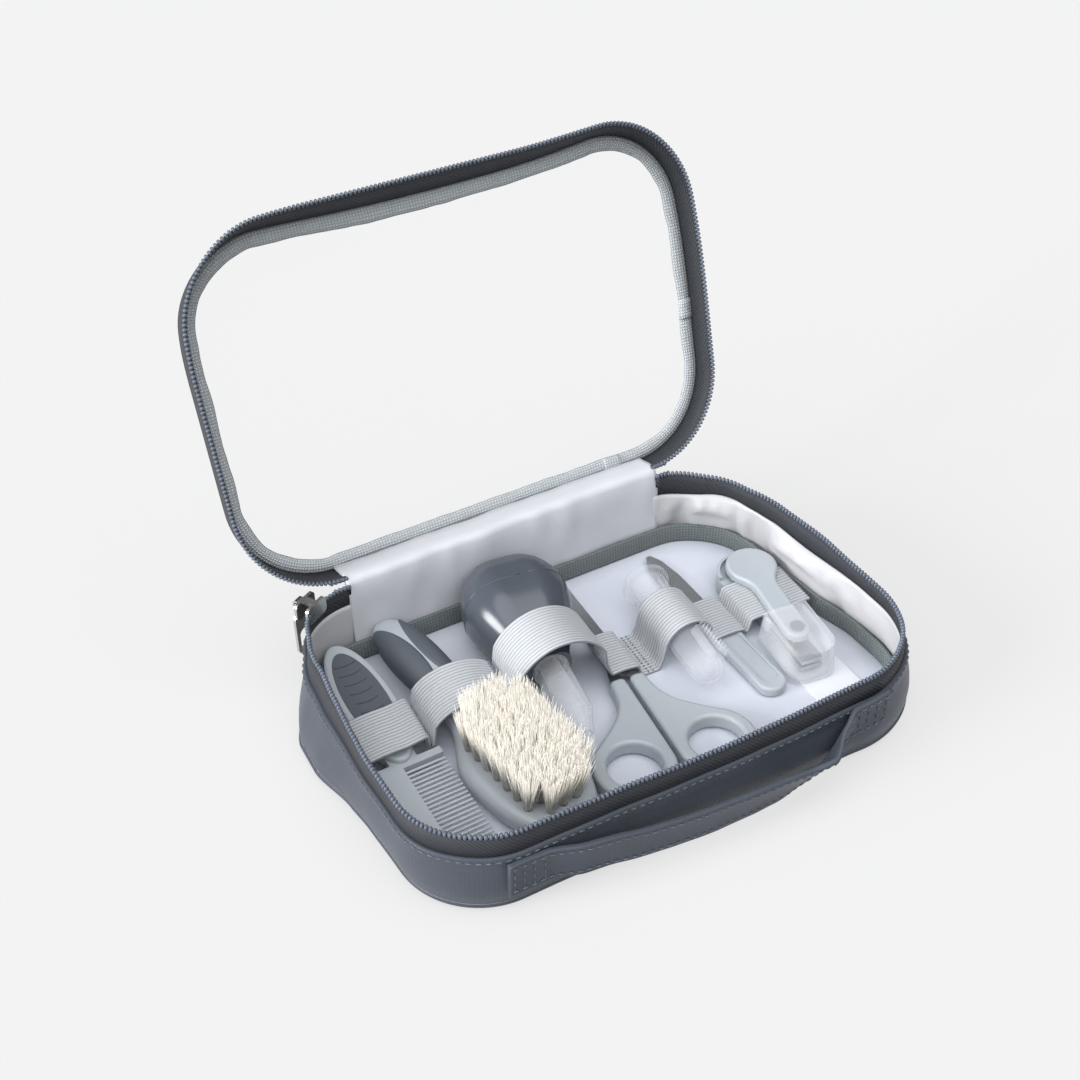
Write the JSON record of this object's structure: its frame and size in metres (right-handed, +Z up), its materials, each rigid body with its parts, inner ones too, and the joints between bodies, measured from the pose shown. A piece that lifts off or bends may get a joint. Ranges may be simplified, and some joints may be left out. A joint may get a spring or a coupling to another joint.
{
  "type": "baby grooming kit",
  "caption": "Soft zip case with a clear hinged lid; comb, brush, aspirator, scissors, finger brush, file and clipper lie under elastic loops and lift out.",
  "frame": {"origin": "middle of the case's underside", "axes": "+X along the lid's hinge line, -Y towards the front wall with the carrying strap, +Z up"},
  "size_m": [0.2122, 0.2104, 0.1723],
  "materials": {
    "coated_nylon": "coated nylon, satin",
    "satin_lining": "satin weave",
    "woven_binding": "woven tape",
    "zip_tape": "woven zip tape",
    "zip_coil": "nylon coil",
    "ribbed_elastic": "ribbed elastic",
    "card": "plain card",
    "clear_film": "clear film",
    "nickel": "nickel plate",
    "grey_plastic": "moulded, satin gloss",
    "dark_grip": "soft touch",
    "bristle": "fine filaments",
    "bulb_rubber": "matt rubber",
    "clear_plastic": "clear moulded",
    "silicone": "translucent silicone",
    "steel": "brushed"
  },
  "bodies": {
    "case_base": {"outer_shell": "coated_nylon", "floor_board": "satin_lining", "wall_lining": "satin_lining", "floor_binding": "woven_binding", "base_zip_tape": "zip_tape", "base_zip_teeth": "zip_coil", "hinge_strip": "satin_lining", "handle_strap": "coated_nylon", "insert_card": "card", "comb_loop": "ribbed_elastic", "brush_loop": "ribbed_elastic", "aspirator_loop": "ribbed_elastic", "scissors_loop": "ribbed_elastic", "finger_brush_loop": "ribbed_elastic", "file_loop": "ribbed_elastic", "clipper_loop": "ribbed_elastic"},
    "lid": {"lid_window": "clear_film", "lid_binding": "woven_binding", "lid_zip_tape": "zip_tape", "lid_zip_teeth": "zip_coil", "lid_hinge_flap": "satin_lining"},
    "zip_slider": {"zip_slider": "nickel"},
    "zip_pull": {"zip_pull_tab": "nickel"},
    "comb": {"comb_body": "grey_plastic", "comb_grip": "dark_grip"},
    "brush": {"brush_body": "grey_plastic", "brush_grips": "dark_grip", "brush_tufts": "bristle"},
    "aspirator": {"aspirator_bulb": "bulb_rubber"},
    "aspirator_nozzle": {"aspirator_nozzle": "clear_plastic"},
    "scissors_lower": {"scissors_lower_blade": "steel", "scissors_lower_handle": "grey_plastic", "scissors_rivet": "steel"},
    "scissors_upper": {"scissors_upper_blade": "steel", "scissors_upper_handle": "grey_plastic"},
    "finger_brush": {"finger_brush_sleeve": "silicone", "finger_brush_bristles": "silicone"},
    "nail_file": {"file_blade": "steel", "file_handle": "grey_plastic"},
    "clipper": {"clipper_body": "grey_plastic", "clipper_lower_arm": "steel", "clipper_post": "steel"},
    "clipper_jaw": {"clipper_upper_arm": "steel"},
    "clipper_lever": {"clipper_lever": "grey_plastic"},
    "clipper_guard": {"clipper_guard": "clear_plastic"}
  },
  "joints": [
    {"name": "lid_hinge", "type": "hinge", "parent": "case_base", "child": "lid", "pos_m": [0, 0.07, 0.0404], "axis": [-1, 0, 0], "range_deg": [-110.5, 69.5]},
    {"name": "zip_slide", "type": "hinge", "parent": "case_base", "child": "zip_slider", "pos_m": [-0.0688, 0.034, 0.038], "axis": [0, 0, 1], "range_deg": [0, 49]},
    {"name": "pull_swing", "type": "hinge", "parent": "zip_slider", "child": "zip_pull", "pos_m": [-0.08899, 0.06968, 0.038], "axis": [0.8704, 0.4924, 0], "range_deg": [-7, 100]},
    {"name": "comb_lift", "type": "slide", "parent": "case_base", "child": "comb", "axis": [0, 0, 1], "range_m": [0, 0.07], "deforming": ["comb_loop"]},
    {"name": "brush_lift", "type": "slide", "parent": "case_base", "child": "brush", "axis": [0, 0, 1], "range_m": [0, 0.07], "deforming": ["brush_loop"]},
    {"name": "aspirator_lift", "type": "slide", "parent": "case_base", "child": "aspirator", "axis": [0, 0, 1], "range_m": [0, 0.07], "deforming": ["aspirator_loop"]},
    {"name": "scissors_lift", "type": "slide", "parent": "case_base", "child": "scissors_lower", "axis": [0, 0, 1], "range_m": [0, 0.06], "deforming": ["scissors_loop"]},
    {"name": "finger_brush_lift", "type": "slide", "parent": "case_base", "child": "finger_brush", "axis": [0, 0, 1], "range_m": [0, 0.06], "deforming": ["finger_brush_loop"]},
    {"name": "file_lift", "type": "slide", "parent": "case_base", "child": "nail_file", "axis": [0, 0, 1], "range_m": [0, 0.06], "deforming": ["file_loop"]},
    {"name": "clipper_lift", "type": "slide", "parent": "case_base", "child": "clipper", "axis": [0, 0, 1], "range_m": [0, 0.06], "deforming": ["clipper_loop"]},
    {"name": "nozzle_pull", "type": "slide", "parent": "aspirator", "child": "aspirator_nozzle", "axis": [-0.1303, -0.9901, -0.0523], "range_m": [0, 0.012]},
    {"name": "scissors_pivot", "type": "hinge", "parent": "scissors_lower", "child": "scissors_upper", "pos_m": [0.0132, 0.01202, 0.0033], "axis": [0, 0, 1], "range_deg": [0, 6], "deforming": ["scissors_loop"]},
    {"name": "jaw_squeeze", "type": "hinge", "parent": "clipper", "child": "clipper_jaw", "pos_m": [0.08444, 0.01649, 0.00758], "axis": [0.9903, -0.1392, 0], "range_deg": [0, 1.4], "stiffness_Nm_per_rad": 6},
    {"name": "lever_swivel", "type": "hinge", "parent": "clipper", "child": "clipper_lever", "pos_m": [0.07973, -0.01703, 0.0037], "axis": [0, 0, 1], "range_deg": [-8, 15]},
    {"name": "guard_slide", "type": "slide", "parent": "clipper", "child": "clipper_guard", "axis": [-0.1392, -0.9903, 0], "range_m": [0, 0.024]}
  ]
}
